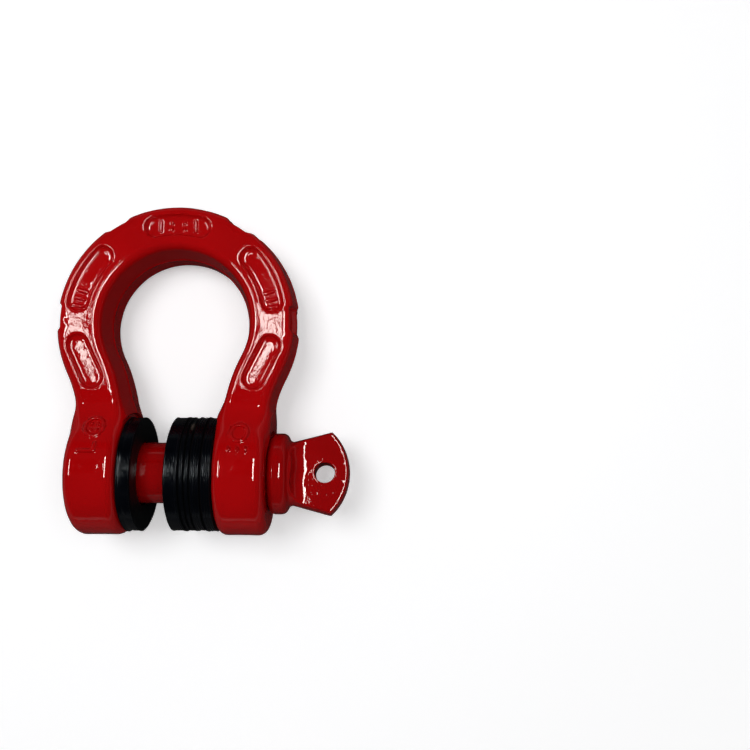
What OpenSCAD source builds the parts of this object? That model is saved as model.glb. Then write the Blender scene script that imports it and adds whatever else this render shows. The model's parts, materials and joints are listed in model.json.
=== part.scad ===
// Screw pin bow shackle with six rubber isolator washers on its pin.
// X runs along the pin towards its head, Y from the pin to the crown, and Z up.
// The origin is on the pin's axis, midway between the ears. The shackle lies on its side,
// so the bow is tilted until its two ears and its crown rest on one plane.

/* [Bow] */
// Clear gap between the two ears
ear_gap = 33.2; // [32:0.1:36]
// Thickness of each ear along the pin
ear_thickness = 18; // [16:0.5:20]
// Outside diameter of each ear
ear_diameter = 44.8; // [42:0.2:48]
// Rounding of the ears' rims
ear_rounding = 3.4; // [2:0.2:4]
// Width of the limb in the plane of the bow
limb_width = 17.4; // [15:0.2:19]
// Depth of the limb across the plane of the bow
limb_depth = 23.4; // [20:0.2:26]
// Rounding of the limb's four corners
limb_rounding = 5; // [3:0.5:6]
// Radius of the crown, to the middle of the limb
crown_radius = 35; // [33:0.5:38]
// Distance from the pin's axis to the centre of the crown's arc
crown_centre = 54.7; // [52:0.5:60]
// Radius of the reverse curve between the crown and each ear
shoulder_radius = 56; // [45:1:65]

/* [Pockets] */
// Width of the long pockets forged into both faces of the bow
pocket_width = 8.2; // [6.4:0.2:8.4]
// Depth of the pockets in the faces
pocket_depth = 1.6; // [0.8:0.1:2.2]
// Depth of the scoops in the bow's outer wall
scoop_depth = 1.8; // [0.8:0.1:2.2]

/* [Pin] */
// Diameter of the pin
pin_diameter = 22.2; // [20:0.1:23]
// Gap all round between the pin and the ears' holes
pin_clearance = 0.08; // [0.02:0.01:0.1]
// Diameter of the collar that stops against the ear
collar_diameter = 29.6; // [27:0.2:32]
// Thickness of the collar
collar_thickness = 7; // [5:0.5:8]
// Full width of the flared head
head_width = 30.8; // [28:0.2:33]
// Distance from the collar to the tip of the head
head_length = 22.3; // [20:0.1:24]
// Thickness of the head between its two flats
flat_thickness = 10.6; // [8:0.2:13]
// Diameter of the cross hole through the head
cross_hole = 7.3; // [5:0.1:9]
// How far the head is turned when the pin is tight
head_angle = 13; // [-20:1:20]

/* [Washers] */
// Outside diameter of the isolator washers
washer_diameter = 41; // [36:0.2:42]
// Thickness of the two thick washers
thick_washer = 5; // [4:0.1:5.4]
// Thickness of the two medium washers
medium_washer = 3.5; // [2.5:0.1:4]
// Thickness of the two thin washers
thin_washer = 1.6; // [1:0.1:2]
// Gap between one washer and the next
washer_gap = 0.25; // [0.1:0.05:0.3]
// Gap all round between a washer and the pin
washer_clearance = 0.3; // [0.2:0.05:0.5]

/* [Hidden] */
$fn = 64;
steel = [0.62, 0.02, 0.03];
rubber = [0.06, 0.06, 0.07];

ear_radius = ear_diameter / 2;
ear_middle = ear_gap / 2 + ear_thickness / 2;
ear_outer = ear_gap / 2 + ear_thickness;
pin_radius = pin_diameter / 2;
half_depth = limb_depth / 2;

// The crown's arc and the shoulder's arc meet below the crown's centre, on the line of centres.
shoulder_angle = acos((ear_middle + shoulder_radius) / (crown_radius + shoulder_radius));
shoulder_x = ear_middle + shoulder_radius;
shoulder_y = crown_centre - (crown_radius + shoulder_radius) * sin(shoulder_angle);

// The bow leans until the lower corner of the crown is as low as the ears.
corner_y = crown_centre + crown_radius + limb_width / 2 - limb_rounding;
corner_z = half_depth - limb_rounding;
bow_tilt = asin((ear_radius - limb_rounding) / norm([corner_y, corner_z])) - atan2(corner_z, corner_y);

// The long pockets sit slightly outside the middle of the limb.
pocket_offset = 1;
upper_pocket = 63.5;
upper_pocket_half = 14.5;
crown_pocket_half = 13;
lower_pocket_length = 12.9;
lower_pocket_centre = [31.9, 40];
lower_pocket_lean = 25.8;

// The scoops are open to both faces, and leave a thin flange along the middle of the outer wall. The
// flange is notched at the crown's scoops. All of these but flange_half are angles, and the places are
// counted from the crown's middle.
flange_half = 1.8;
crown_scoop = 32;
crown_scoop_half = 10;
crown_scoop_ramp = 6;
crown_notch_half = 8.5;
side_scoop = 88;
side_scoop_half = 8;
side_scoop_ramp = 3;

// How far shapes that are joined run into each other.
overlap = 1;

// Gap between the collar and the ear when the pin is tight.
collar_gap = 0.1;

collar_start = ear_outer + collar_gap;
collar_end = collar_start + collar_thickness;
collar_rounding = 2.2;
neck_radius = 11.7;
head_end = collar_end + head_length;
flare_start = collar_end + 1.6;
flare_end = head_end - 6.6;
flare_slope = (head_width / 2 - neck_radius) / (flare_end - flare_start);
dome_radius = 21;
flat_start = collar_end + 1.4;
flat_runout = 5;
hole_position = head_end - 9.1;
tip_end = ear_outer - 0.4;
tip_chamfer = 1.6;

// A point at a distance and an angle from the origin.
function polar(radius, angle) = radius * [cos(angle), sin(angle)];

// Points along an arc, from one angle to another.
function arc(centre, radius, from, to, steps) =
    [for (i = [0:steps]) centre + polar(radius, from + (to - from) * i / steps)];

// The corner points of a rectangle centred on the origin, each corner a quarter round in short steps.
function corner_steps(first) = [for (i = [0:4]) first + 22.5 * i];
function rounded_rectangle(width, depth, rounding) = [
    for (quarter = [0:3], angle = corner_steps(90 * quarter))
        let (x = (quarter == 0 || quarter == 3) ? 1 : -1, y = quarter < 2 ? 1 : -1)
            [x * (width / 2 - rounding) + rounding * cos(angle),
             y * (depth / 2 - rounding) + rounding * sin(angle)]];
limb_section = rounded_rectangle(limb_width, limb_depth, limb_rounding);

// The crown, two shoulders and two straight legs, in the bow's own plane.
module limb() {
    translate([0, crown_centre, 0]) rotate([0, 0, -shoulder_angle])
        rotate_extrude(angle = 180 + 2 * shoulder_angle) translate([crown_radius, 0]) polygon(limb_section);
    for (side = [0, 1]) mirror([side, 0, 0]) {
        translate([shoulder_x, shoulder_y, 0]) rotate([0, 0, 180 - shoulder_angle])
            rotate_extrude(angle = shoulder_angle) translate([shoulder_radius, 0]) polygon(limb_section);
        translate([ear_middle, 0, 0]) rotate([-90, 0, 0])
            linear_extrude(height = shoulder_y) polygon(limb_section);
    }
}

// A disc with a rounded rim, centred on the pin's axis.
module rounded_disc(middle, diameter, thickness, rounding) {
    translate([middle, 0, 0]) rotate([0, 90, 0]) rotate_extrude()
        polygon([for (point = rounded_rectangle(diameter, thickness, rounding))
            [max(0, point[0]), point[1]]]);
}

// The blend between an ear and its limb: a plate whose sides are two concave arcs. It is sunk a little
// into both, so that no surfaces coincide.
module ear_blend() {
    fillet = 15;
    sink = 0.1;
    inner = half_depth - sink;
    reach = sqrt(pow(ear_radius - sink + fillet, 2) - pow(inner + fillet, 2));
    plate = ear_thickness - 2 * ear_rounding;
    start = atan2(inner + fillet, reach);
    side = arc([reach, inner + fillet], fillet, 180 + start, 270, 6);
    translate([ear_middle - plate / 2, 0, 0]) rotate([90, 0, 90]) linear_extrude(height = plate)
        polygon(concat([[0, 0]], side, [for (i = [len(side) - 1:-1:0]) [side[i][0], -side[i][1]]]));
}

// A round-ended outline bent to the crown's radius, centred at an angle from the crown's middle. It runs
// along the outer arc, round one end, back along the inner arc and round the other end. The rounds at
// the ends start and stop 20 degrees in, because the arcs' own end points come before and after them.
function on_crown(angle) = [0, crown_centre] + polar(crown_radius + pocket_offset, angle);
function bent_outline(middle, half) =
    let (low = 90 - middle - half, high = 90 - middle + half, radius = crown_radius + pocket_offset)
        concat(arc([0, crown_centre], radius + pocket_width / 2, low, high, 10),
               arc(on_crown(high), pocket_width / 2, high + 20, high + 160, 7),
               arc([0, crown_centre], radius - pocket_width / 2, high, low, 10),
               arc(on_crown(low), pocket_width / 2, low + 200, low + 340, 7));
function straight_outline(length) =
    concat(arc([0, length / 2], pocket_width / 2, 0, 180, 9),
           arc([0, -length / 2], pocket_width / 2, 180, 360, 9));

// A round-ended pocket that follows the crown, in both faces.
module curved_pocket(middle, half) {
    for (z = [-half_depth, half_depth]) translate([0, 0, z])
        linear_extrude(height = 2 * pocket_depth, center = true) polygon(bent_outline(middle, half));
}

// A straight round-ended pocket in both faces, between a shoulder and the crown.
module straight_pocket() {
    for (z = [-half_depth, half_depth])
        translate([lower_pocket_centre[0], lower_pocket_centre[1], z]) rotate([0, 0, -lower_pocket_lean])
            linear_extrude(height = 2 * pocket_depth, center = true)
                polygon(straight_outline(lower_pocket_length));
}

// A shallow scoop in the outer wall, cut from a height above the middle plane out to the face, and the
// same below. Its bottom follows the crown, and straight ramps lead up to the wall. The cutter reaches
// so far beyond the wall that its straight back doesn't cut it.
module scoop(middle, half, ramp, depth, from_height) {
    outer = crown_radius + limb_width / 2;
    clearance = 6;
    beyond = outer + clearance;
    low = 90 - middle - half;
    high = 90 - middle + half;
    outline = concat(arc([0, 0], outer - depth, low + ramp, high - ramp, 6),
                     [polar(outer + depth, high + ramp), polar(beyond, high + ramp),
                      polar(beyond, low - ramp), polar(outer + depth, low - ramp)]);
    for (face = [0, 1]) mirror([0, 0, face]) translate([0, crown_centre, from_height])
        linear_extrude(height = limb_depth) polygon(outline);
}

// The bow with its bored ears, its pockets and its scoops, leaning so that it lies level.
module bow() {
    color(steel) rotate([-bow_tilt, 0, 0]) difference() {
        union() {
            limb();
            for (side = [0, 1]) mirror([side, 0, 0]) {
                rounded_disc(ear_middle, ear_diameter, ear_thickness, ear_rounding);
                ear_blend();
            }
        }
        rotate([0, 90, 0]) cylinder(r = pin_radius + pin_clearance, h = 3 * ear_outer, center = true);
        curved_pocket(0, crown_pocket_half);
        for (side = [0, 1]) mirror([side, 0, 0]) {
            curved_pocket(upper_pocket, upper_pocket_half);
            straight_pocket();
            scoop(crown_scoop, crown_scoop_half, crown_scoop_ramp, scoop_depth, flange_half);
            scoop(crown_scoop, crown_notch_half, crown_scoop_ramp, scoop_depth / 2, -flange_half);
            scoop(side_scoop, side_scoop_half, side_scoop_ramp, scoop_depth, flange_half);
        }
    }
}

// One cutter for a flat of the head: it starts with a round runout next to the neck.
module flat_cutter() {
    half = flat_thickness / 2;
    translate([flat_start + flat_runout, -head_width, half]) cube([head_length, 2 * head_width, head_width]);
    translate([flat_start, -head_width, half + flat_runout])
        cube([head_length, 2 * head_width, head_width]);
    translate([flat_start + flat_runout, 0, half + flat_runout]) rotate([90, 0, 0])
        cylinder(r = flat_runout, h = 2 * head_width, center = true);
}

// The turned blank of the head: a neck, then a flare that is full width at flare_end and ends in a dome.
module head_blank() {
    intersection() {
        rotate([0, 90, 0]) union() {
            translate([0, 0, collar_end - overlap])
                cylinder(r = neck_radius, h = flare_start - collar_end + overlap);
            translate([0, 0, flare_start])
                cylinder(r1 = neck_radius, r2 = neck_radius + flare_slope * (head_end - flare_start),
                         h = head_end - flare_start);
        }
        translate([head_end - dome_radius, 0, 0]) rotate([0, 90, 0]) sphere(dome_radius);
    }
}

// The pin with its chamfered tip, its collar and its flattened, cross-drilled head.
module screw_pin() {
    color(steel) difference() {
        union() {
            translate([tip_chamfer - tip_end, 0, 0]) rotate([0, 90, 0])
                cylinder(r = pin_radius, h = tip_end + collar_start + overlap - tip_chamfer);
            translate([-tip_end, 0, 0]) rotate([0, 90, 0])
                cylinder(r1 = pin_radius - tip_chamfer, r2 = pin_radius, h = tip_chamfer);
            rounded_disc(collar_start + collar_thickness / 2, collar_diameter, collar_thickness,
                         collar_rounding);
            head_blank();
        }
        rotate([-head_angle, 0, 0]) {
            for (side = [0, 1]) mirror([0, 0, side]) flat_cutter();
            translate([hole_position, 0, 0]) cylinder(d = cross_hole, h = head_width, center = true);
        }
    }
}

// A flat ring around the pin with broken edges, starting at the given place along it.
module washer(start, thickness) {
    bore = pin_radius + washer_clearance;
    outer = washer_diameter / 2;
    edge = 0.3;
    color(rubber) translate([start, 0, 0]) rotate([0, 90, 0]) rotate_extrude()
        polygon([[bore, 0], [outer - edge, 0], [outer, edge], [outer, thickness - edge],
                 [outer - edge, thickness], [bore, thickness]]);
}

// Washers of the stack, counted from the head's ear: each stands clear of the one before it.
stack_sizes = [medium_washer, medium_washer, thin_washer, thin_washer, thick_washer];
function stack_start(n) =
    n < 0 ? ear_gap / 2 : stack_start(n - 1) - washer_gap - stack_sizes[n];

module washer_thick_outer() { washer(washer_gap - ear_gap / 2, thick_washer); }
module washer_thick_inner() { washer(stack_start(4), thick_washer); }
module washer_thin_inner() { washer(stack_start(3), thin_washer); }
module washer_thin_outer() { washer(stack_start(2), thin_washer); }
module washer_medium_inner() { washer(stack_start(1), medium_washer); }
module washer_medium_outer() { washer(stack_start(0), medium_washer); }

bow();
screw_pin();
washer_thick_outer();
washer_thick_inner();
washer_thin_inner();
washer_thin_outer();
washer_medium_inner();
washer_medium_outer();
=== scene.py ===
import json
import math

import bpy
import numpy as np
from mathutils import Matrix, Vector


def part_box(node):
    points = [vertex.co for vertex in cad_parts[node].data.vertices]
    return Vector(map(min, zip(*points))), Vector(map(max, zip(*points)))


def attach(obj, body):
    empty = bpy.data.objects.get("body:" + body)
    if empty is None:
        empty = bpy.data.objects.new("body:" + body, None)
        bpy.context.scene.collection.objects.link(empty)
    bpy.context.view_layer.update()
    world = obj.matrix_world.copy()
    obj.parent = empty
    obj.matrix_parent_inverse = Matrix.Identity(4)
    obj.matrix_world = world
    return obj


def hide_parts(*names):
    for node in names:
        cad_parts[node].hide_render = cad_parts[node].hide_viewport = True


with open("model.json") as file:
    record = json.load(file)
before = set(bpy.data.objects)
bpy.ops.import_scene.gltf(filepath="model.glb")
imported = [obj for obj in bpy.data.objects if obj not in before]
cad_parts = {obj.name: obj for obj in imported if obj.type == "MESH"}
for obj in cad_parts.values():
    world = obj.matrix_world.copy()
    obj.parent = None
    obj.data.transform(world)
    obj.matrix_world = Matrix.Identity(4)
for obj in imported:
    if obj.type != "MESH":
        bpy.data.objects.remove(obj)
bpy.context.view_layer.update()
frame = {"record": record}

import openvdb
from mathutils import Matrix, Vector

# The bow and the pin are made as distance fields, whose edges blend as a forging's do under its coat of
# enamel, and then meshed. The washers are swept round the pin. All lengths here are millimetres, and MM
# turns them into the scene's metres. A blend is the length over which two surfaces round into each other.
MM = 0.001


def box_mm(node):
    """A CAD node's lowest and highest corners, in millimetres."""
    low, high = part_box(node)
    return np.array(low) / MM, np.array(high) / MM


def metres(point):
    """A point in millimetres, in the scene's metres."""
    return tuple(float(c) * MM for c in point)


# ---------------------------------------------------------------- sizes
BOW_LOW, BOW_HIGH = box_mm("bow")
PIN_LOW, PIN_HIGH = box_mm("screw_pin")

EAR_RADIUS = -BOW_LOW[2]
FLOOR = BOW_LOW[2]
EAR_THICKNESS = 18.0
TIP_RECESS = 0.4
EAR_OUTER = -PIN_LOW[0] + TIP_RECESS
EAR_MIDDLE = EAR_OUTER - EAR_THICKNESS / 2
EAR_ROUNDING = 3.6
EAR_BLEND = 7.0

# The limb is widest at its parting line, halfway up. Its walls lean in from there, by the slopes.
LIMB_HALF_WIDTH = 8.7
LIMB_HALF_DEPTH = 11.7
INNER_ROUNDING = 2.8
OUTER_ROUNDING = 2.9
INNER_SWELL = 0.6
INNER_SLOPE_ABOVE = 0.15
INNER_SLOPE_BELOW = 0.02
OUTER_SWELL = 0.5
OUTER_SLOPE = 0.12
PARTING_LINE = 0.3
PARTING_WIDTH = 0.5
SWELL_REACH = 4.0
LIMB_END = -2.0
CROWN_RADIUS = BOW_HIGH[0] - LIMB_HALF_WIDTH
CROWN_CENTRE = 54.7
SHOULDER_RADIUS = 56.0

# The radii of the flat seats on the ears.
WASHER_SEAT = 21.8
COLLAR_SEAT = 15.4
SEAT_BLEND = 0.4

# The bow leans until the lower corner of its crown is as low as its ears. CORNER is the rounding of the CAD
# model's corners.
CORNER = 5.0
CORNER_Y = CROWN_CENTRE + CROWN_RADIUS + LIMB_HALF_WIDTH - CORNER
CORNER_Z = LIMB_HALF_DEPTH - CORNER
BOW_TILT = math.asin((EAR_RADIUS - CORNER) / math.hypot(CORNER_Y, CORNER_Z)) - math.atan2(CORNER_Z, CORNER_Y)

# The pockets that follow the crown have a middle and a half length, in degrees from the crown's middle.
POCKET_HALF_WIDTH = 4.1
POCKET_DEPTH = 1.6
POCKET_HOLLOW = 0.1
POCKET_RADIUS = CROWN_RADIUS + 1.0
POCKET_FLOOR_BLEND = 2.2
POCKET_RIM_BLEND = 0.7
CROWN_POCKET = (0, 13)
UPPER_POCKET = (63.5, 14.5)
LOWER_POCKET = ((34.7, 45.8), (29.1, 34.2))

# Each scoop has a middle in degrees, a half length and ramps in millimetres along the wall, and the share of
# its depth that the flange takes up.
CROWN_SCOOP = (32, 8.4, 5.5, 0.5)
SIDE_SCOOP = (88, 6.6, 2.6, 0.9)
SCOOP_DEPTH = 1.9
SCOOP_RISE = 1.5
SCOOP_BLEND = 0.9
FLANGE_HALF = 1.8

# The raised marks on the faces: rings as (centre, radius), bars as (start, end), and dots. The bars in the
# upper pockets lie across the limb, at places in degrees from the crown's middle.
RINGS = [((-25.4, 16.0), 3.2), ((25.6, 14.2), 2.9)]
BARS = [((-29.2, 7.6), (-23.8, 7.6)), ((-23.8, 7.6), (-23.8, 10.2)), ((-6.4, 88.4), (-6.4, 92.2)),
        ((6.4, 88.4), (6.4, 92.2))]
DOTS = [(-26.5, 15.0), (-26.5, 17.0), (-24.3, 15.0), (-24.3, 17.0), (22.6, 8.4), (25.6, 8.4), (28.6, 8.4),
        (-2.3, 89.1), (-2.3, 91.5), (2.3, 89.1), (2.3, 91.5)]
POCKET_BARS = (72, 76.5, 81)
POCKET_BAR_INNER = POCKET_RADIUS - 1.9
POCKET_BAR_OUTER = POCKET_RADIUS + 1.6
MARK_RADIUS = 0.66
MARK_BLEND = 0.25
MARKS_ABOVE = 7.0

PIN_RADIUS = 11.1
BORE_RADIUS = 11.25
BORE_BLEND = 0.5
COUNTERSINK = 0.9
COUNTERSINK_DEPTH = 1.0
THREAD_PITCH = 25.4 / 9
THREAD_HEIGHT = 1.5
THREAD_STEEPNESS = 0.62
THREAD_START = 0.6
THREAD_LEAD_IN = 1.6
BOW_UNEVEN = 0.018
PIN_UNEVEN = 0.02


# ---------------------------------------------------------------- distance fields
def smooth_min(a, b, blend):
    """The union of two distances, rounded off where they meet."""
    h = np.clip(0.5 + 0.5 * (b - a) / blend, 0, 1)
    return b + (a - b) * h - blend * h * (1 - h)


def smooth_max(a, b, blend):
    """The overlap of two distances, rounded off in the same way."""
    return -smooth_min(-a, -b, blend)


def rounded_rectangle(x, y, half_x, half_y, rounding):
    """Distance in a plane to a rectangle with round corners."""
    qx = np.abs(x) - (half_x - rounding)
    qy = np.abs(y) - (half_y - rounding)
    return np.hypot(np.maximum(qx, 0), np.maximum(qy, 0)) + np.minimum(np.maximum(qx, qy), 0) - rounding


def segment(x, y, start, end):
    """Distance in a plane to a straight stroke."""
    along = np.subtract(end, start)
    length = max(float(along @ along), 1e-9)
    t = np.clip(((x - start[0]) * along[0] + (y - start[1]) * along[1]) / length, 0, 1)
    return np.hypot(x - start[0] - t * along[0], y - start[1] - t * along[1])


def ring(x, y, centre, radius):
    """Distance in a plane to a circle's line."""
    return np.abs(np.hypot(x - centre[0], y - centre[1]) - radius)


def turned(y, z, angle):
    """Turned about the pin's axis, so that the crown end goes down."""
    c, s = math.cos(angle), math.sin(angle)
    return c * y + s * z, c * z - s * y


def thread_depth(x, y, z):
    """How deep the thread is cut below its crest. Both threads use it, so they mesh as the pin turns."""
    phase = 2 * math.pi * x / THREAD_PITCH - np.arctan2(z, y)
    return THREAD_HEIGHT * np.clip(0.5 - THREAD_STEEPNESS * np.cos(phase), 0, 1)


def unevenness(x, y, z):
    """The slow waviness of a forged surface."""
    return (np.sin(0.43 * x + 1.1) * np.sin(0.37 * y + 0.4) + np.sin(0.61 * y - 0.8) * np.sin(0.52 * z + 0.9)
            + 0.6 * np.sin(0.83 * x - 0.5 * y + 2.0) * np.sin(0.71 * z + 0.45 * y))


# ---------------------------------------------------------------- the bow, in its own plane
SHOULDER_ANGLE = math.acos((EAR_MIDDLE + SHOULDER_RADIUS) / (CROWN_RADIUS + SHOULDER_RADIUS))
SHOULDER_X = EAR_MIDDLE + SHOULDER_RADIUS
SHOULDER_Y = CROWN_CENTRE - (CROWN_RADIUS + SHOULDER_RADIUS) * math.sin(SHOULDER_ANGLE)


def limb_offset(x, y):
    """How far outside the middle line of the limb a point lies, in the plane of the bow."""
    x = np.abs(x)
    on_crown = np.arctan2(y - CROWN_CENTRE, x) > -SHOULDER_ANGLE
    crown = np.hypot(x, y - CROWN_CENTRE) - CROWN_RADIUS
    shoulder = SHOULDER_RADIUS - np.hypot(x - SHOULDER_X, y - SHOULDER_Y)
    return np.where(on_crown, crown, np.where(y > SHOULDER_Y, shoulder, x - EAR_MIDDLE))


def crown_angle(x, y):
    """Degrees round the crown's centre, from the middle of the crown to either side."""
    return np.degrees(np.arctan2(np.abs(x), y - CROWN_CENTRE))


def bent_slot(x, y, middle, half):
    """Distance to a round-ended slot that follows the crown."""
    near = np.radians(np.clip(crown_angle(x, y), middle - half, middle + half))
    return np.hypot(np.abs(x) - POCKET_RADIUS * np.sin(near),
                    y - CROWN_CENTRE - POCKET_RADIUS * np.cos(near)) - POCKET_HALF_WIDTH


def face_pockets(x, y):
    """Distance to the nearest of the pockets in a face of the bow."""
    crown = bent_slot(x, y, *CROWN_POCKET)
    upper = bent_slot(x, y, *UPPER_POCKET)
    lower = segment(np.abs(x), y, *LOWER_POCKET) - POCKET_HALF_WIDTH
    return np.minimum(np.minimum(crown, upper), lower)


def scoop(x, y, z, offset, middle, half, ramp, flange):
    """Distance out of a shallow scoop in the outer wall, open to both faces. A thin flange runs through it
    along the middle of the wall."""
    run = np.abs(np.radians(crown_angle(x, y) - middle)) * (CROWN_RADIUS + LIMB_HALF_WIDTH)
    t = np.clip((half - run) / ramp, 0, 1)
    flange_share = flange * np.clip(1.6 - np.abs(z) / FLANGE_HALF, 0, 1)
    depth = (SCOOP_DEPTH * (1 - flange_share) + SCOOP_RISE) * t * t * (3 - 2 * t) - SCOOP_RISE
    return offset - LIMB_HALF_WIDTH + depth


def forge_marks(x, y):
    """Distance to the raised marks: plain rings, bars and dots, with no meaning."""
    strokes = [ring(x, y, centre, radius) for centre, radius in RINGS]
    strokes += [segment(x, y, start, end) for start, end in BARS]
    strokes += [segment(x, y, dot, dot) for dot in DOTS]
    for side in (-1, 1):
        for place in POCKET_BARS:
            c, s = math.cos(math.radians(place)), side * math.sin(math.radians(place))
            strokes.append(segment(x, y, (POCKET_BAR_INNER * s, CROWN_CENTRE + POCKET_BAR_INNER * c),
                                   (POCKET_BAR_OUTER * s, CROWN_CENTRE + POCKET_BAR_OUTER * c)))
    return np.minimum.reduce(strokes)


def bow_blank(x, y, z):
    """The bow without its pockets and marks: a limb that runs into two round ears."""
    offset = limb_offset(x, y)
    outer = offset > 0
    inner_draft = INNER_SWELL - np.where(z > 0, INNER_SLOPE_ABOVE, INNER_SLOPE_BELOW) * np.abs(z)
    reach = LIMB_HALF_WIDTH + np.where(outer, 0, inner_draft)
    rounding = np.where(outer, OUTER_ROUNDING, INNER_ROUNDING)
    limb = rounded_rectangle(offset, z, reach, LIMB_HALF_DEPTH, rounding)
    outer_draft = np.where(outer, OUTER_SWELL - OUTER_SLOPE * np.abs(z), 0)
    swell = outer_draft + PARTING_LINE * np.exp(-(z / PARTING_WIDTH) ** 2)
    limb = limb - swell * np.clip(1 - (LIMB_HALF_WIDTH - np.abs(offset)) / SWELL_REACH, 0, 1)
    limb = np.maximum(limb, LIMB_END - y)
    ear = rounded_rectangle(np.abs(x) - EAR_MIDDLE, np.hypot(y, z), EAR_THICKNESS / 2, EAR_RADIUS,
                            EAR_ROUNDING)
    return smooth_min(limb, ear, EAR_BLEND)


def seats(x, y, z):
    """Distance out of the flat seats on the ears: one for the washers between them, and one for the
    collar."""
    radius = np.hypot(y, z)
    washers = np.maximum(radius - WASHER_SEAT, np.abs(x) - EAR_OUTER + EAR_THICKNESS)
    collar = np.maximum(radius - COLLAR_SEAT, EAR_OUTER - x)
    return np.minimum(washers, collar)


def bow_rough(x, y, z):
    """The bow without its details, which is enough to say where its surface is."""
    cut_away = np.minimum(seats(x, y, z), np.hypot(y, z) - BORE_RADIUS)
    return np.maximum(bow_blank(x, y, z), -cut_away)


def bore_distance(x, y, z):
    """The hole through both ears: the ear at the pin's tip is threaded, and the other one is plain. Both are
    countersunk on both sides."""
    row_y, row_z = turned(y, z, BOW_TILT)
    inside = np.clip((EAR_THICKNESS / 2 - THREAD_START - np.abs(x + EAR_MIDDLE)) / THREAD_LEAD_IN, 0, 1)
    countersink = np.clip(np.abs(np.abs(x) - EAR_MIDDLE) - EAR_THICKNESS / 2 + COUNTERSINK_DEPTH, 0, 1)
    cut = inside * thread_depth(x, row_y, row_z)
    return np.hypot(y, z) - BORE_RADIUS + cut - COUNTERSINK * countersink


def bow_distance(x, y, z):
    """The whole bow, with its pockets, scoops, raised marks and bores."""
    body = bow_blank(x, y, z) + BOW_UNEVEN * unevenness(x, y, z)
    offset = limb_offset(x, y)
    pocket = face_pockets(x, y)
    hollow = POCKET_HOLLOW * (1 - np.clip(1 + pocket / POCKET_HALF_WIDTH, 0, 1) ** 2)
    pockets = smooth_max(pocket, LIMB_HALF_DEPTH - POCKET_DEPTH - hollow - np.abs(z), POCKET_FLOOR_BLEND)
    body = smooth_max(body, -pockets, POCKET_RIM_BLEND)
    for sizes in (CROWN_SCOOP, SIDE_SCOOP):
        body = smooth_max(body, scoop(x, y, z, offset, *sizes), SCOOP_BLEND)
    raised = np.hypot(forge_marks(x, y), np.maximum(body, 0)) - MARK_RADIUS
    body = np.where(np.abs(z) > MARKS_ABOVE, smooth_min(body, raised, MARK_BLEND), body)
    body = smooth_max(body, -seats(x, y, z), SEAT_BLEND)
    return smooth_max(body, -bore_distance(x, y, z), BORE_BLEND)


# ---------------------------------------------------------------- the pin
COLLAR_START = EAR_OUTER + 0.1
COLLAR_END = COLLAR_START + 7.0
COLLAR_RADIUS = 14.8
COLLAR_ROUNDING = 2.5
COLLAR_BLEND = 0.6
BURIED = COLLAR_START + 2.0
HEAD_END = PIN_HIGH[0]
NECK_RADIUS = 11.7
NECK_BLEND = 1.8
FLARE_START = COLLAR_END + 1.6
FLARE_END = HEAD_END - 6.6
HEAD_RADIUS = 15.4
DOME_RADIUS = 21.0
DOME_BLEND = 0.4
FLAT_HALF = 5.3
FLAT_START = COLLAR_END + 1.4
FLAT_RUNOUT = 5.0
FLAT_BLOCK = 40.0
FLAT_BLEND = 0.7
HOLE_PLACE = HEAD_END - 9.1
HOLE_RADIUS = 3.65
HOLE_BLEND = 0.6
HEAD_TURN = math.radians(13)
THREAD_END = -EAR_OUTER + EAR_THICKNESS + 2.4
THREAD_FADE = 2.2
TIP_CHAMFER = 1.6
TIP_BLEND = 0.5
TIP_DIMPLE = 1.9
DIMPLE_OUT = 0.9
DIMPLE_BLEND = 0.4


def pin_distance(x, y, z):
    """The threaded shank, the collar, and a turned head with two flats and a cross hole. The shank and the
    head end inside the collar."""
    radius = np.hypot(y, z)
    thread = np.clip((THREAD_END - x) / THREAD_FADE, 0, 1) * thread_depth(x, y, z)
    chamfer = (radius - PIN_RADIUS + TIP_CHAMFER + PIN_LOW[0] - x) * math.sqrt(0.5)
    dimple = TIP_DIMPLE - np.sqrt((x - PIN_LOW[0] + DIMPLE_OUT) ** 2 + radius ** 2)
    shank = smooth_max(radius - PIN_RADIUS + thread, np.maximum(PIN_LOW[0] - x, x - BURIED), TIP_BLEND)
    shank = smooth_max(smooth_max(shank, chamfer, TIP_BLEND), dimple, DIMPLE_BLEND)
    collar = rounded_rectangle(x - (COLLAR_START + COLLAR_END) / 2, radius, (COLLAR_END - COLLAR_START) / 2,
                               COLLAR_RADIUS, COLLAR_ROUNDING)
    slope = (HEAD_RADIUS - NECK_RADIUS) / (FLARE_END - FLARE_START)
    flare = (radius - NECK_RADIUS - slope * np.maximum(x - FLARE_START, 0)) / math.hypot(1, slope)
    dome = np.sqrt((x - HEAD_END + DOME_RADIUS) ** 2 + radius ** 2) - DOME_RADIUS
    head = smooth_max(np.maximum(flare, BURIED - x), dome, DOME_BLEND)
    c, s = math.cos(HEAD_TURN), math.sin(HEAD_TURN)
    across, up = c * y - s * z, s * y + c * z
    wander = 0.22 * np.sin(0.55 * across + 0.6) + 0.06 * np.sin(1.9 * across)
    flats = rounded_rectangle(x - FLAT_START - FLAT_BLOCK - wander, np.abs(up) - FLAT_HALF - FLAT_BLOCK,
                              FLAT_BLOCK, FLAT_BLOCK, FLAT_RUNOUT)
    head = smooth_max(head, -flats, FLAT_BLEND)
    hole = np.hypot(x - HOLE_PLACE, across) - HOLE_RADIUS
    head = smooth_max(head, -hole, HOLE_BLEND)
    whole = smooth_min(smooth_min(collar, shank, COLLAR_BLEND), head, NECK_BLEND)
    return whole + PIN_UNEVEN * unevenness(x, y, z)


# ---------------------------------------------------------------- meshes
BOW_VOXEL = 0.36
BOW_ADAPTIVITY = 0.02
PIN_VOXEL = 0.3
PIN_ADAPTIVITY = 0.01
DETAIL_REACH = 1.2
PROJECTIONS = 2


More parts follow.
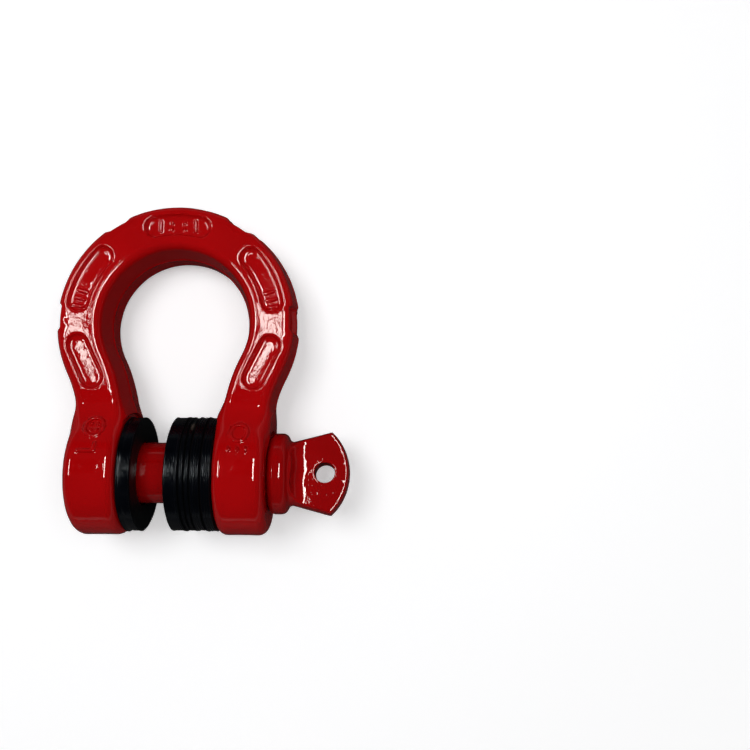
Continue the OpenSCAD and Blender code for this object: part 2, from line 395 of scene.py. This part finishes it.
def new_piece(name, points, faces, material, sharp=None, normals=None):
    """A smooth-shaded mesh object from points in millimetres. sharp is an angle whose edges stay crisp, and
    normals are the surface's own at the points."""
    mesh = bpy.data.meshes.new(name)
    mesh.from_pydata((np.asarray(points) * MM).tolist(), [], [list(map(int, f)) for f in faces])
    mesh.polygons.foreach_set("use_smooth", np.ones(len(mesh.polygons), bool))
    mesh.validate()
    if sharp is not None:
        mesh.set_sharp_from_angle(angle=math.radians(sharp))
    if normals is not None:
        mesh.normals_split_custom_set_from_vertices(normals.tolist())
    mesh.materials.append(material)
    piece = bpy.data.objects.new(name, mesh)
    bpy.context.scene.collection.objects.link(piece)
    return piece


def gradient(distance, p, step=0.02):
    """Which way a distance field grows at the points, and how fast."""
    shifts = np.eye(3) * step
    return np.stack([(distance(*(p + s).T) - distance(*(p - s).T)) / (2 * step) for s in shifts], 1)


def mesh_field(distance, rough, low, high, voxel, adaptivity):
    """The zero surface of a distance field, as points, their normals and faces, which are larger where the
    surface is flat. rough is a cheap field that says where the surface is, to within DETAIL_REACH."""
    axes = [np.arange(lo - 3 * voxel, hi + 3 * voxel, voxel) for lo, hi in zip(low, high)]
    grid = np.empty([len(a) for a in axes], np.float32)
    band = 3 * voxel
    for i, x in enumerate(axes[0]):
        y, z = np.meshgrid(axes[1], axes[2], indexing="ij")
        plane = rough(np.full_like(y, x), y, z)
        near = np.abs(plane) < band + DETAIL_REACH
        plane[near] = distance(np.full(near.sum(), x), y[near], z[near])
        grid[i] = np.clip(plane, -band, band)
    field = openvdb.FloatGrid(background=band)
    field.copyFromArray(grid)
    field.transform = openvdb.createLinearTransform(voxelSize=voxel)
    points, triangles, quads = field.convertToPolygons(isovalue=0, adaptivity=adaptivity)
    points = np.asarray(points, float) + np.array([a[0] for a in axes])
    for _ in range(PROJECTIONS):
        slope = gradient(distance, points)
        steepness = np.maximum((slope ** 2).sum(1), 0.25)
        move = (distance(*points.T) / steepness)[:, None] * slope
        points -= np.clip(move, -voxel / 2, voxel / 2)
    normals = gradient(distance, points)
    normals /= np.linalg.norm(normals, axis=1)[:, None]
    return points, normals, [*triangles, *quads]


# ---------------------------------------------------------------- the washers
# Each washer: the radius of its rim, its lips as (share of the thickness, height, width), and its offset.
WASHERS = {
    "washer_thick_outer": (20.6, [(0.04, 0.35, 0.12), (0.3, -0.12, 0.5), (0.95, 0.2, 0.1)], (-0.35, -0.05)),
    "washer_thick_inner": (20.6, [(0.04, 0.15, 0.12), (0.82, 0.2, 0.07), (0.96, 0.3, 0.08)], (-0.35, 0.0)),
    "washer_thin_inner": (20.4, [(0.2, 0.3, 0.08), (0.55, 0.12, 0.06), (0.85, 0.4, 0.08)], (-0.15, 0.1)),
    "washer_thin_outer": (20.3, [(0.15, 0.25, 0.08), (0.5, 0.15, 0.06), (0.85, 0.5, 0.09)], (-0.4, -0.05)),
    "washer_medium_inner": (20.5, [(0.07, 0.4, 0.08), (0.36, 0.12, 0.07), (0.6, 0.2, 0.07),
                                   (0.93, 0.4, 0.09)], (-0.2, 0.1)),
    "washer_medium_outer": (20.5, [(0.07, 0.35, 0.08), (0.4, 0.2, 0.07), (0.66, 0.15, 0.07),
                                   (0.95, 0.3, 0.1)], (-0.3, -0.05)),
}
SECTION_STEP = 0.07
EDGE_CHAMFER = 0.25
BORE_SIDE = [(0.0, 15.0), (0.05, 12.2), (0.3, 11.75), (0.7, 11.6)]
BORE_MIDDLE = 11.58
RIM_WALL = 1.2
RING_STEPS = 288


def washer_section(thickness, rim, lips):
    """Half of a washer's section, as (x, radius) points: a moulded rim with thin raised lips."""
    along = np.linspace(0, thickness, max(24, int(thickness / SECTION_STEP)))
    radius = np.full_like(along, rim)
    for place, height, width in lips:
        radius += height * np.exp(-((along - place) / width) ** 2)
    edge = np.minimum(along, thickness - along)
    radius -= EDGE_CHAMFER * np.clip(1 - edge / EDGE_CHAMFER, 0, 1) ** 2
    outer = np.stack([along, radius], 1)
    half_bore = [*BORE_SIDE, (thickness / 2, BORE_MIDDLE)]
    back_half = [(thickness - x, radius) for x, radius in BORE_SIDE]
    side = rim - RIM_WALL
    return np.concatenate([outer, [(thickness, side)], back_half, half_bore[::-1], [(0.0, side)]])


def washer_mesh(start, section, seed, centre):
    """Sweeps the section round the pin. It waves a little, as a loose rubber ring does."""
    angle = np.linspace(0, 2 * math.pi, RING_STEPS, endpoint=False)[:, None]
    x, radius = section[:, 0][None, :], section[:, 1][None, :]
    outward = np.clip((radius - 11.4) / 9, 0, 1)
    wave = 0.07 * np.sin(2 * angle + seed) + 0.03 * np.sin(5 * angle + 2.3 * seed)
    swell = 0.07 * np.sin(3 * angle + 1.7 * seed) + 0.05 * np.sin(7 * angle + seed)
    swell += 0.03 * np.sin(19 * angle)
    radius = radius + outward ** 4 * swell
    points = np.stack([start + x + outward * wave, radius * np.cos(angle) + centre[0],
                       radius * np.sin(angle) + centre[1]], 2)
    count = section.shape[0]
    a = np.arange(RING_STEPS)[:, None] * count
    b = np.roll(a, -1, axis=0)
    i, j = np.arange(count)[None, :], np.roll(np.arange(count), -1)[None, :]
    faces = np.stack([a + i, b + i, b + j, a + j], 2).reshape(-1, 4)
    return points.reshape(-1, 3), faces


# ---------------------------------------------------------------- materials
ENAMEL_DEEP = (0.40, 0.0013, 0.0022)
ENAMEL = (0.48, 0.0018, 0.0030)
RUBBER_DEEP = (0.0006, 0.0009, 0.0019)
RUBBER = (0.0014, 0.0019, 0.0034)
RUBBER_DUST = (0.007, 0.0066, 0.007)
# A brownish patch on the rims near the top of the stack: its colour, place, shape and reach.
BROWN_PATCH = (0.10, 0.075, 0.06)
BROWN_PATCH_PLACE = (8.2, 18.2, 9.6)
BROWN_PATCH_SHAPE = (1.9, 0.75, 0.75)
BROWN_PATCH_REACH = 2.2


def new_material(name):
    """A material with its nodes, its links and its shader."""
    material = bpy.data.materials.new(name)
    material.use_nodes = True
    nodes, links = material.node_tree.nodes, material.node_tree.links
    return material, nodes, links, nodes["Principled BSDF"]


def noise_node(nodes, links, coordinates, per_mm, detail=2.0, roughness=0.5):
    """Noise with so many features to the millimetre."""
    noise = nodes.new("ShaderNodeTexNoise")
    noise.inputs["Scale"].default_value = per_mm / MM
    noise.inputs["Detail"].default_value = detail
    noise.inputs["Roughness"].default_value = roughness
    links.new(coordinates, noise.inputs["Vector"])
    return noise.outputs["Fac"]


def ramp_node(nodes, links, factor, stops):
    """A colour ramp through the stops, each (place, colour)."""
    ramp = nodes.new("ShaderNodeValToRGB")
    for element, (place, colour) in zip(ramp.color_ramp.elements, stops[:2]):
        element.position, element.color = place, (*colour, 1)
    for place, colour in stops[2:]:
        ramp.color_ramp.elements.new(place).color = (*colour, 1)
    links.new(factor, ramp.inputs["Fac"])
    return ramp.outputs["Color"]


def range_node(nodes, links, factor, low, high):
    """A factor from 0 to 1, spread over another range."""
    spread = nodes.new("ShaderNodeMapRange")
    spread.inputs["To Min"].default_value = low
    spread.inputs["To Max"].default_value = high
    links.new(factor, spread.inputs["Value"])
    return spread.outputs["Result"]


def bump_chain(nodes, links, layers):
    """Bump nodes one on another. Each layer is (height, depth in millimetres)."""
    normal = None
    for height, depth in layers:
        bump = nodes.new("ShaderNodeBump")
        bump.inputs["Distance"].default_value = depth * MM
        links.new(height, bump.inputs["Height"])
        if normal is not None:
            links.new(normal, bump.inputs["Normal"])
        normal = bump.outputs["Normal"]
    return normal


def red_enamel(name, peel, shade):
    """Thick glossy enamel over a forging: orange peel, sags and a slightly uneven colour."""
    material, nodes, links, shader = new_material(name)
    place = nodes.new("ShaderNodeTexCoord").outputs["Object"]
    cloud = noise_node(nodes, links, place, 0.035, 3.0)
    deep, plain = [[c * shade for c in colour] for colour in (ENAMEL_DEEP, ENAMEL)]
    colour = ramp_node(nodes, links, cloud, [(0.3, deep), (0.7, plain)])
    links.new(colour, shader.inputs["Base Color"])
    shader.inputs["Roughness"].default_value = 0.5
    shader.inputs["Specular IOR Level"].default_value = 0.0
    shader.inputs["Coat Weight"].default_value = 1.0
    shader.inputs["Coat Roughness"].default_value = 0.02
    shader.inputs["Coat IOR"].default_value = 1.5
    lumps = noise_node(nodes, links, place, 0.12, 1.0)
    skin = noise_node(nodes, links, place, 0.7, 2.0, 0.5)
    grain = noise_node(nodes, links, place, 1.7, 1.0, 0.5)
    normal = bump_chain(nodes, links, [(lumps, 0.045 * peel), (skin, 0.032 * peel), (grain, 0.008 * peel)])
    links.new(normal, shader.inputs["Coat Normal"])
    links.new(normal, shader.inputs["Normal"])
    return material


def with_brown_patch(nodes, links, place, colour):
    """The colour, with a brownish patch on the rims near the top of the stack."""
    narrowed = nodes.new("ShaderNodeMapping")
    narrowed.inputs["Scale"].default_value = BROWN_PATCH_SHAPE
    links.new(place, narrowed.inputs["Vector"])
    apart = nodes.new("ShaderNodeVectorMath")
    apart.operation = "DISTANCE"
    apart.inputs[1].default_value = metres([c * share for c, share in zip(BROWN_PATCH_PLACE, BROWN_PATCH_SHAPE)])
    links.new(narrowed.outputs["Vector"], apart.inputs[0])
    share = nodes.new("ShaderNodeMapRange")
    share.inputs["From Max"].default_value = BROWN_PATCH_REACH * MM
    share.inputs["To Min"].default_value, share.inputs["To Max"].default_value = 0.9, 0.0
    links.new(apart.outputs["Value"], share.inputs["Value"])
    mix = nodes.new("ShaderNodeMixRGB")
    mix.inputs["Color2"].default_value = (*BROWN_PATCH, 1)
    links.new(share.outputs["Result"], mix.inputs["Fac"])
    links.new(colour, mix.inputs["Color1"])
    return mix.outputs["Color"]


def black_rubber():
    """Moulded black rubber: shiny rims with fine lines round them, matt sides and a little dust."""
    material, nodes, links, shader = new_material("black_rubber")
    place = nodes.new("ShaderNodeTexCoord").outputs["Object"]
    cloud = noise_node(nodes, links, place, 0.12, 4.0, 0.6)
    colour = ramp_node(nodes, links, cloud, [(0.35, RUBBER_DEEP), (0.62, RUBBER), (0.8, RUBBER_DUST)])
    links.new(with_brown_patch(nodes, links, place, colour), shader.inputs["Base Color"])
    smudge = range_node(nodes, links, noise_node(nodes, links, place, 0.2, 3.0, 0.6), 0.05, 0.15)
    parts = nodes.new("ShaderNodeSeparateXYZ")
    links.new(nodes.new("ShaderNodeTexCoord").outputs["Normal"], parts.inputs["Vector"])
    sideways = nodes.new("ShaderNodeMath")
    sideways.operation = "ABSOLUTE"
    links.new(parts.outputs["X"], sideways.inputs[0])
    matt = nodes.new("ShaderNodeMath")
    matt.operation = "MULTIPLY_ADD"
    links.new(sideways.outputs[0], matt.inputs[0])
    matt.inputs[1].default_value = 0.4
    links.new(smudge, matt.inputs[2])
    links.new(matt.outputs[0], shader.inputs["Roughness"])
    shader.inputs["Specular IOR Level"].default_value = 0.2
    shader.inputs["Specular Tint"].default_value = (0.82, 0.93, 1.0, 1)
    stretch = nodes.new("ShaderNodeMapping")
    stretch.inputs["Scale"].default_value = (1.0, 0.05, 0.05)
    links.new(place, stretch.inputs["Vector"])
    lines = noise_node(nodes, links, stretch.outputs["Vector"], 2.2, 2.0, 0.6)
    grain = noise_node(nodes, links, place, 2.5, 2.0, 0.6)
    links.new(bump_chain(nodes, links, [(lines, 0.10), (grain, 0.03)]), shader.inputs["Normal"])
    return material


# ---------------------------------------------------------------- stage
CAMERA_LENS = 38.67
CAMERA_PLACE = (73.18, 36.07, 297.0)
CAMERA_TURN = math.radians(0.438)
BACKDROP = (0.95, 0.95, 0.955)
FLOOR_GLOW = 0.385
LIT_MIDDLE = (5, 48, 0)
PANEL_HEIGHT = 1200


def make_camera():
    """Straight above, off to the head's side, as the object was photographed."""
    camera = bpy.data.objects.new("camera", bpy.data.cameras.new("camera"))
    bpy.context.scene.collection.objects.link(camera)
    bpy.context.scene.camera = camera
    camera.data.lens = CAMERA_LENS
    camera.data.sensor_width = 36.0
    camera.data.clip_start, camera.data.clip_end = 0.01, 20
    x, y, z = CAMERA_PLACE
    c, s = math.cos(CAMERA_TURN), math.sin(CAMERA_TURN)
    camera.location = metres((c * x - s * y, s * x + c * y, z))
    camera.rotation_euler = (0, 0, CAMERA_TURN)


def distance_share(nodes, links, centre, near, far):
    """0 within the near distance of a point on the floor, 1 beyond the far one. All are millimetres."""
    away = nodes.new("ShaderNodeVectorMath")
    away.operation = "DISTANCE"
    away.inputs[1].default_value = metres((*centre, 0))
    links.new(nodes.new("ShaderNodeTexCoord").outputs["Object"], away.inputs[0])
    share = nodes.new("ShaderNodeMapRange")
    share.inputs["From Min"].default_value, share.inputs["From Max"].default_value = near * MM, far * MM
    links.new(away.outputs["Value"], share.inputs["Value"])
    return share.outputs["Result"]


def mixed(nodes, links, share, first, second):
    """A share of the second shader over the first."""
    mix = nodes.new("ShaderNodeMixShader")
    links.new(share, mix.inputs["Fac"])
    links.new(first, mix.inputs[1])
    links.new(second, mix.inputs[2])
    return mix.outputs[0]


def make_floor():
    """A pale floor that fades into the backdrop. Reflections and bounced light see it darker than the camera
    does, and reflections see it darkest near the object, as a painted shadow."""
    size = 4.0
    mesh = bpy.data.meshes.new("floor")
    corners = [(-size, -size, 0), (size, -size, 0), (size, size, 0), (-size, size, 0)]
    mesh.from_pydata(corners, [], [(0, 1, 2, 3)])
    floor = bpy.data.objects.new("floor", mesh)
    floor.location = metres((0, 40, FLOOR - 0.05))
    bpy.context.scene.collection.objects.link(floor)
    material, nodes, links, shader = new_material("floor")
    nodes.remove(shader)
    path = nodes.new("ShaderNodeLightPath")
    seen, bounced, mirrored = [nodes.new("ShaderNodeBsdfDiffuse") for _ in range(3)]
    glow, backdrop = [nodes.new("ShaderNodeEmission") for _ in range(2)]
    seen.inputs["Color"].default_value = (0.86, 0.86, 0.87, 1)
    glow.inputs["Strength"].default_value = FLOOR_GLOW
    backdrop.inputs["Color"].default_value = (*BACKDROP, 1)
    bounced.inputs["Color"].default_value = (0.42, 0.42, 0.425, 1)
    # Reflections see the floor darkest near the object: a painted shadow round it.
    shade = ramp_node(nodes, links, distance_share(nodes, links, (35, 10), 90, 240),
                      [(0, (0.05,) * 3), (1, (0.15,) * 3)])
    links.new(shade, mirrored.inputs["Color"])
    both = nodes.new("ShaderNodeAddShader")
    links.new(seen.outputs[0], both.inputs[0])
    links.new(glow.outputs[0], both.inputs[1])
    fading = distance_share(nodes, links, (0, 0), 150, 420)
    for_camera = mixed(nodes, links, fading, both.outputs[0], backdrop.outputs[0])
    for_others = mixed(nodes, links, path.outputs["Is Glossy Ray"], bounced.outputs[0], mirrored.outputs[0])
    surface = mixed(nodes, links, path.outputs["Is Camera Ray"], for_others, for_camera)
    links.new(surface, nodes["Material Output"].inputs["Surface"])
    mesh.materials.append(material)


def area_light(name, place, size, radiance, colour=(1, 1, 1)):
    """A rectangular light of that radiance, aimed at the object's middle. Places are in millimetres."""
    data = bpy.data.lights.new(name, "AREA")
    data.shape = "RECTANGLE"
    data.size, data.size_y = size[0] * MM, size[1] * MM
    data.energy = radiance * math.pi * data.size * data.size_y
    data.color = colour
    light = bpy.data.objects.new(name, data)
    bpy.context.scene.collection.objects.link(light)
    away = (Vector(place) - Vector(LIT_MIDDLE)).normalized()
    across = Vector((1, 0, 0)) - away.x * away
    across.normalize()
    turn = Matrix((across, away.cross(across), away)).transposed()
    light.matrix_world = Matrix.Translation(metres(place)) @ turn.to_4x4()
    light.visible_camera = False
    return light


def panel(name, x_range, y_range, radiance):
    """A bright panel overhead that the enamel mirrors, though it lights nothing."""
    place = (sum(x_range) / 2, sum(y_range) / 2, PANEL_HEIGHT)
    slant = math.dist(place, LIT_MIDDLE) / PANEL_HEIGHT
    size = ((x_range[1] - x_range[0]) / slant, (y_range[1] - y_range[0]) / slant)
    area_light(name, place, size, radiance, (1, 0.95, 0.9)).visible_diffuse = False


def card(name, x_range, y_range, height):
    """A black card low over the object. It hides the panels from part of the enamel's reflections, and
    nothing else sees it."""
    corners = [metres((x, y, height)) for x in x_range for y in y_range]
    mesh = bpy.data.meshes.new(name)
    mesh.from_pydata(corners, [], [(0, 2, 3, 1)])
    material, _, _, shader = new_material(name)
    shader.inputs["Base Color"].default_value = (0.0, 0.0, 0.0, 1)
    shader.inputs["Specular IOR Level"].default_value = 0.0
    mesh.materials.append(material)
    board = bpy.data.objects.new(name, mesh)
    bpy.context.scene.collection.objects.link(board)
    board.visible_camera = False
    board.visible_diffuse = False
    board.visible_shadow = False


def make_world():
    """A dim room that mirrors paler near the floor, seen by the camera as a plain pale backdrop."""
    world = bpy.data.worlds.new("studio")
    bpy.context.scene.world = world
    world.use_nodes = True
    nodes, links = world.node_tree.nodes, world.node_tree.links
    nodes.clear()
    path = nodes.new("ShaderNodeLightPath")
    parts = nodes.new("ShaderNodeSeparateXYZ")
    links.new(nodes.new("ShaderNodeTexCoord").outputs["Generated"], parts.inputs["Vector"])
    height = ramp_node(nodes, links, parts.outputs["Z"],
                       [(0.0, (0.34, 0.34, 0.34)), (0.05, (0.24, 0.24, 0.24)), (0.12, (0.03, 0.03, 0.03))])
    room, haze, backdrop = [nodes.new("ShaderNodeBackground") for _ in range(3)]
    links.new(height, room.inputs["Color"])
    haze.inputs["Color"].default_value = (0.2, 0.2, 0.2, 1)
    backdrop.inputs["Color"].default_value = (*BACKDROP, 1)
    lit = mixed(nodes, links, path.outputs["Is Diffuse Ray"], room.outputs[0], haze.outputs[0])
    surface = mixed(nodes, links, path.outputs["Is Camera Ray"], lit, backdrop.outputs[0])
    links.new(surface, nodes.new("ShaderNodeOutputWorld").inputs["Surface"])


def make_lights():
    """Two short panels and two tall ones make the highlights, and two soft lights make everything else. The
    cards keep the short panels off the ears, and all panels off the legs above them."""
    panel("panel_left", (-530, -464), (290, 450), 20)
    panel("panel_right", (-164, -90), (290, 450), 20)
    panel("tall_left", (-960, -760), (-100, 800), 28)
    panel("tall_right", (130, 330), (-100, 800), 28)
    card("card_left_ear", (-54, -37), (6, 30), 60)
    card("card_right_ear", (18.5, 34), (6, 30), 60)
    card("card_legs", (-50, 40), (24, 36.5), 30)
    area_light("soft_left", (-245, 298, 1000), (450, 450), 7.8).visible_glossy = False
    area_light("soft_right", (355, 148, 1000), (450, 450), 3.6).visible_glossy = False


# ---------------------------------------------------------------- building
def build_bow():
    """The bow is meshed in its own plane, and then leans like the CAD model's."""
    low, high = (-44, -23, -23), (44, 99.5, 23)
    points, normals, faces = mesh_field(bow_distance, bow_rough, low, high, BOW_VOXEL, BOW_ADAPTIVITY)
    for vectors in (points, normals):
        vectors[:, 1], vectors[:, 2] = turned(vectors[:, 1], vectors[:, 2], BOW_TILT)
    bow = new_piece("bow_forging", points, faces, red_enamel("red_enamel_bow", 1.0, 1.0), normals=normals)
    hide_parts("bow")
    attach(bow, "bow_body")


def build_pin():
    """The pin is meshed where it lies."""
    low, high = (PIN_LOW[0] - 1, -16, -16), (HEAD_END + 1, 16, 16)
    points, normals, faces = mesh_field(pin_distance, pin_distance, low, high, PIN_VOXEL, PIN_ADAPTIVITY)
    # The pin's enamel is the bow's, with its colour darkened to 0.72 of it.
    pin = new_piece("pin_forging", points, faces, red_enamel("red_enamel_pin", 0.9, 0.72), normals=normals)
    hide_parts("screw_pin")
    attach(pin, "pin")


def build_washers():
    """Each washer is swept in its CAD node's place, and rides on that node's body."""
    rubber = black_rubber()
    bodies = frame["record"]["behaviour"]["bodies"]
    for seed, (node, (rim, lips, centre)) in enumerate(WASHERS.items()):
        low, high = box_mm(node)
        thickness = high[0] - low[0]
        section = washer_section(thickness, rim, [(share * thickness, h, w) for share, h, w in lips])
        points, faces = washer_mesh(low[0], section, seed * 1.3, centre)
        washer = new_piece(node + "_rubber", points, faces, rubber, sharp=50)
        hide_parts(node)
        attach(washer, next(body for body, members in bodies.items() if node in members))


make_camera()
make_floor()
make_world()
make_lights()
build_bow()
build_pin()
build_washers()
bpy.context.scene.view_settings.view_transform = "Standard"
